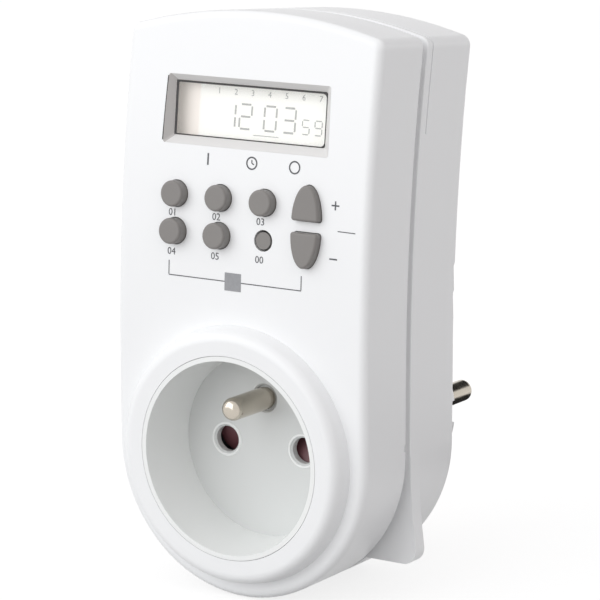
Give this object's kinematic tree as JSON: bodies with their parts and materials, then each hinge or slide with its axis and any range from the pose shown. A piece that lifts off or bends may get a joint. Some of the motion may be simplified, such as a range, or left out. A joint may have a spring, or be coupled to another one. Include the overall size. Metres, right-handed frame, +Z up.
{
  "type": "programmable timer",
  "caption": "Plug-in programmable timer with a leaning two-shell housing, display, keypad, shuttered earth-pin socket in front and a mains plug behind.",
  "frame": {"origin": "centre of the plug's end face, between the two mains pins", "axes": "+Y along the plug pins, into the wall; +Z up, along the housing; the keypad and the socket face -Y"},
  "size_m": [0.0638, 0.0807, 0.121],
  "materials": {
    "shell": "satin",
    "socket": "satin",
    "nickel": "polished",
    "brass": "satin",
    "steel": "satin",
    "inner": "matte",
    "clear": "polished",
    "black": "matte",
    "lcd": "satin",
    "rubber": "matte",
    "board": "satin",
    "relay": "satin",
    "capacitor": "satin",
    "varistor": "satin",
    "can": "satin",
    "battery": "satin",
    "key": "satin",
    "shutter": "satin"
  },
  "bodies": {
    "housing": {"front_housing": "shell", "rear_housing": "shell", "socket_well": "socket", "socket_floor": "socket", "earth_pin": "nickel", "contact_block": "inner", "shutter_spring": "steel", "socket_contact_left": "brass", "socket_contact_right": "brass", "plug_pin_left": "nickel", "plug_pin_right": "nickel", "pin_carrier": "inner", "earth_sleeve": "brass", "earth_clip_top": "nickel", "earth_clip_bottom": "nickel", "earth_bridge": "brass", "neutral_tab": "brass", "live_strip_out": "brass", "live_strip_in": "brass", "display_window": "clear", "display_frame": "black", "lcd_glass": "lcd", "lcd_holder": "inner", "zebra_strip_top": "rubber", "zebra_strip_bottom": "rubber", "control_board": "board", "keypad_mat": "rubber", "power_board": "board", "relay": "relay", "film_capacitor": "capacitor", "varistor": "varistor", "smoothing_capacitor": "can", "backup_battery": "battery", "board_header": "black", "housing_screw_1": "steel", "housing_screw_2": "steel", "housing_screw_3": "steel", "housing_screw_4": "steel"},
    "round_key_1": {"round_key_1": "key"},
    "round_key_2": {"round_key_2": "key"},
    "round_key_3": {"round_key_3": "key"},
    "round_key_4": {"round_key_4": "key"},
    "round_key_5": {"round_key_5": "key"},
    "reset_key": {"reset_key": "key"},
    "plus_key": {"plus_key": "key"},
    "minus_key": {"minus_key": "key"},
    "shutter": {"shutter": "shutter"}
  },
  "joints": [
    {"name": "press_round_key_1", "type": "slide", "parent": "housing", "child": "round_key_1", "axis": [0, 0.9944, -0.1054], "range_m": [0, 0.0008], "stiffness_N_per_m": 1500},
    {"name": "press_round_key_2", "type": "slide", "parent": "housing", "child": "round_key_2", "axis": [0, 0.9944, -0.1054], "range_m": [0, 0.0008], "stiffness_N_per_m": 1500},
    {"name": "press_round_key_3", "type": "slide", "parent": "housing", "child": "round_key_3", "axis": [0, 0.9944, -0.1054], "range_m": [0, 0.0008], "stiffness_N_per_m": 1500},
    {"name": "press_round_key_4", "type": "slide", "parent": "housing", "child": "round_key_4", "axis": [0, 0.9944, -0.1054], "range_m": [0, 0.0008], "stiffness_N_per_m": 1500},
    {"name": "press_round_key_5", "type": "slide", "parent": "housing", "child": "round_key_5", "axis": [0, 0.9944, -0.1054], "range_m": [0, 0.0008], "stiffness_N_per_m": 1500},
    {"name": "press_reset_key", "type": "slide", "parent": "housing", "child": "reset_key", "axis": [0, 0.9944, -0.1054], "range_m": [0, 0.0005], "stiffness_N_per_m": 1500},
    {"name": "press_plus_key", "type": "slide", "parent": "housing", "child": "plus_key", "axis": [0, 0.9944, -0.1054], "range_m": [0, 0.0008], "stiffness_N_per_m": 1500},
    {"name": "press_minus_key", "type": "slide", "parent": "housing", "child": "minus_key", "axis": [0, 0.9944, -0.1054], "range_m": [0, 0.0008], "stiffness_N_per_m": 1500},
    {"name": "shutter_turn", "type": "hinge", "parent": "housing", "child": "shutter", "pos_m": [0, -0.04405, 0], "axis": [0, 1, 0], "range_deg": [0, 42], "stiffness_Nm_per_rad": 0.002}
  ]
}
